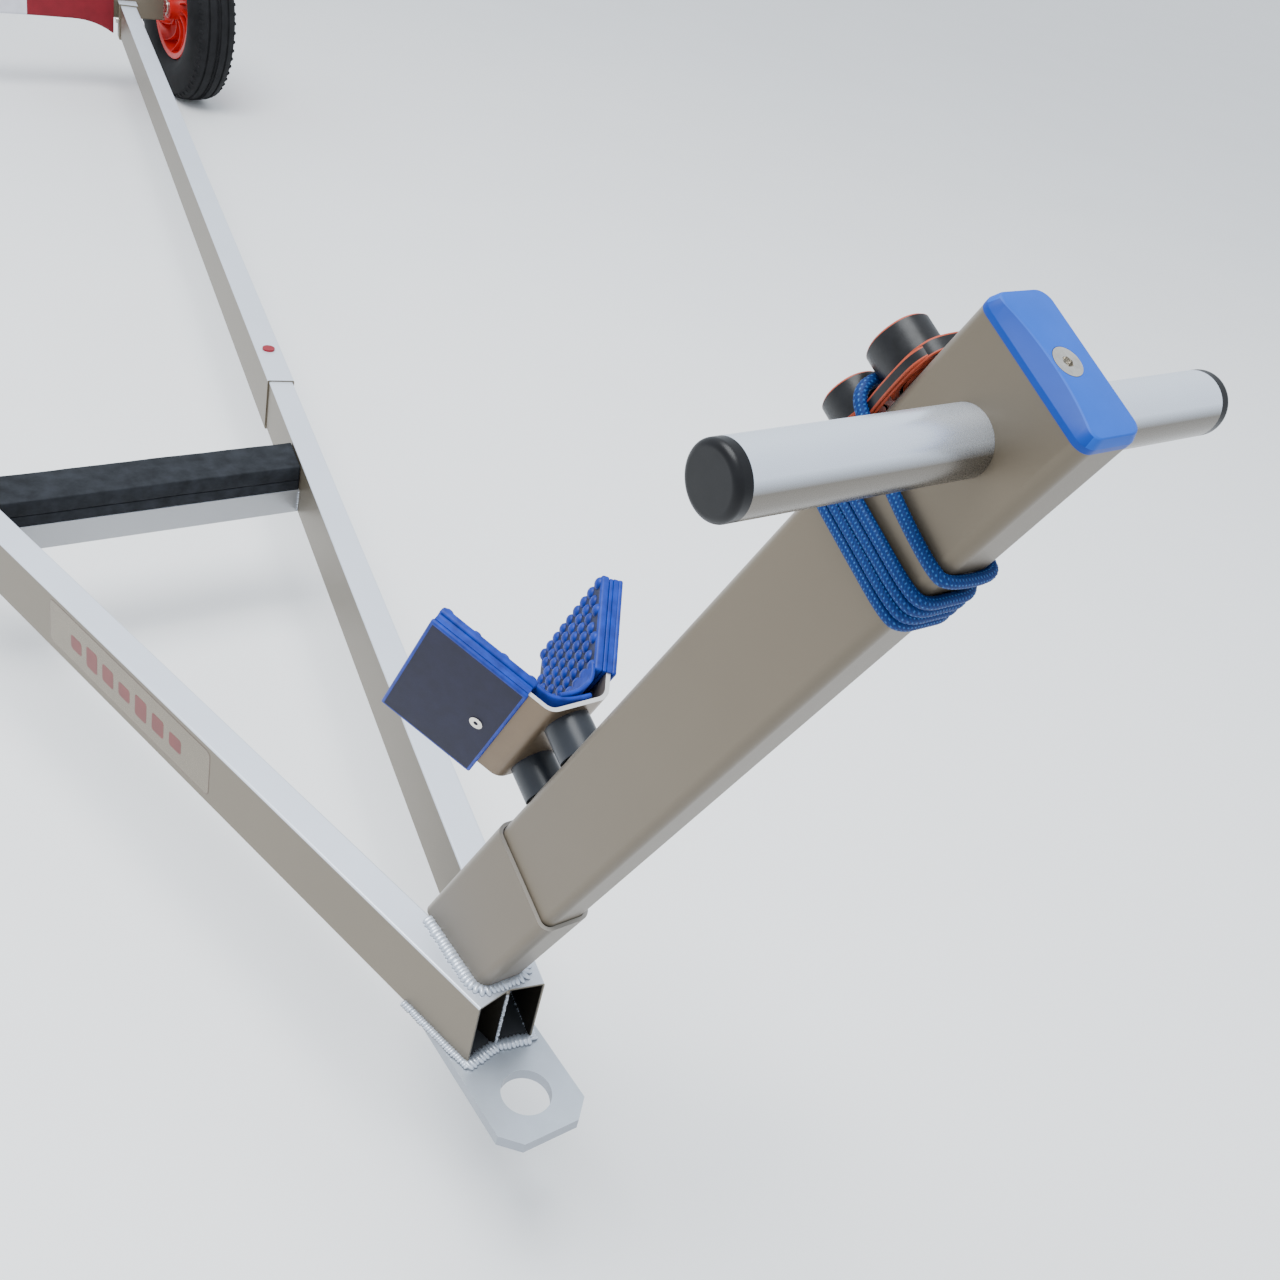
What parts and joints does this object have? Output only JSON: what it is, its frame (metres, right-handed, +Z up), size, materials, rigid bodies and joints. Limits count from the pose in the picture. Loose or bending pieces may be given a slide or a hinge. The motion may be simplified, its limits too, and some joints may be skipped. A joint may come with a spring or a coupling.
{
  "type": "dinghy launching trolley",
  "caption": "Aluminium launching trolley with a V frame, lift-out drawbar with T handle and padded bow cradle, keel pad, axle and wheels.",
  "frame": {"origin": "on the hitch eye's axis, level with the underside of the rails", "axes": "+X to the right seen from the front, +Y rearwards from the hitch eye to the axle, +Z up"},
  "size_m": [1.6734, 3.2436, 0.859],
  "materials": {
    "rail_aluminium": "satin anodised",
    "drawbar_aluminium": "satin anodised, warm grey",
    "handle_aluminium": "fine satin anodised",
    "plate_aluminium": "brushed",
    "weld_bead": "rippled weld",
    "stainless": "satin",
    "black_plastic": "moulded",
    "blue_cap": "moulded satin",
    "blue_rubber": "moulded",
    "grey_plastic": "satin",
    "blue_rope": "braided",
    "strap_rubber": "smooth with orange edges",
    "black_foam": "closed-cell foam",
    "red_button": "moulded",
    "red_rim": "moulded",
    "tyre_rubber": "matt",
    "red_canvas": "coated woven"
  },
  "bodies": {
    "frame": {"axle_beam": "rail_aluminium", "axle_cover": "red_canvas", "axle_end_left": "stainless", "axle_end_right": "stainless", "button_spring_left": "stainless", "button_spring_right": "stainless", "collar_bolt_left": "stainless", "collar_bolt_right": "stainless", "cross_tube": "rail_aluminium", "cross_tube_pad": "black_foam", "drawbar_socket": "drawbar_aluminium", "front_rail_left": "rail_aluminium", "front_rail_right": "rail_aluminium", "linch_pin_left": "stainless", "linch_pin_right": "stainless", "nose_plate": "plate_aluminium", "nose_welds": "weld_bead", "rail_collar_left": "rail_aluminium", "rail_collar_right": "rail_aluminium", "rear_rail_left": "rail_aluminium", "rear_rail_right": "rail_aluminium", "wheel_washers_left": "stainless", "wheel_washers_right": "stainless"},
    "drawbar": {"cradle_bolt_front": "stainless", "cradle_bolt_rear": "stainless", "cradle_liner": "blue_rubber", "cradle_nut_front": "stainless", "cradle_nut_rear": "stainless", "cradle_pad_left": "blue_rubber", "cradle_pad_right": "blue_rubber", "cradle_plate": "plate_aluminium", "cradle_spacer_front": "grey_plastic", "cradle_spacer_rear": "grey_plastic", "drawbar_foot_plug": "black_plastic", "drawbar_tube": "drawbar_aluminium", "handle_barrel_nut": "stainless", "handle_plug_left": "black_plastic", "handle_plug_right": "black_plastic", "handle_tube": "handle_aluminium", "pad_screw_left": "stainless", "pad_screw_right": "stainless", "rope_tail": "blue_rope", "rope_winding": "blue_rope", "tie_strap": "strap_rubber", "top_cap": "blue_cap", "top_cap_bolt": "stainless"},
    "wheel_left": {"hub_bush_left_inner": "black_plastic", "hub_bush_left_outer": "black_plastic", "rim_left": "red_rim", "tyre_left": "tyre_rubber", "valve_left": "black_plastic"},
    "wheel_right": {"hub_bush_right_inner": "black_plastic", "hub_bush_right_outer": "black_plastic", "rim_right": "red_rim", "tyre_right": "tyre_rubber", "valve_right": "black_plastic"},
    "button_left": {"rail_button_left": "red_button"},
    "button_right": {"rail_button_right": "red_button"}
  },
  "joints": [
    {"name": "wheel_left_spin", "type": "hinge", "parent": "frame", "child": "wheel_left", "pos_m": [-0.7721, 2.825, 0.059], "axis": [1, 0, 0], "continuous": true},
    {"name": "wheel_right_spin", "type": "hinge", "parent": "frame", "child": "wheel_right", "pos_m": [0.7721, 2.825, 0.059], "axis": [1, 0, 0], "continuous": true},
    {"name": "drawbar_slide", "type": "slide", "parent": "frame", "child": "drawbar", "axis": [0, -0.4107, 0.9118], "range_m": [0, 0.12]},
    {"name": "rail_button_left_press", "type": "slide", "parent": "frame", "child": "button_left", "axis": [0, 0, -1], "range_m": [0, 0.004], "stiffness_N_per_m": 600, "springref_m": -0.004, "deforming": ["button_spring_left"]},
    {"name": "rail_button_right_press", "type": "slide", "parent": "frame", "child": "button_right", "axis": [0, 0, -1], "range_m": [0, 0.004], "stiffness_N_per_m": 600, "springref_m": -0.004, "deforming": ["button_spring_right"]}
  ]
}
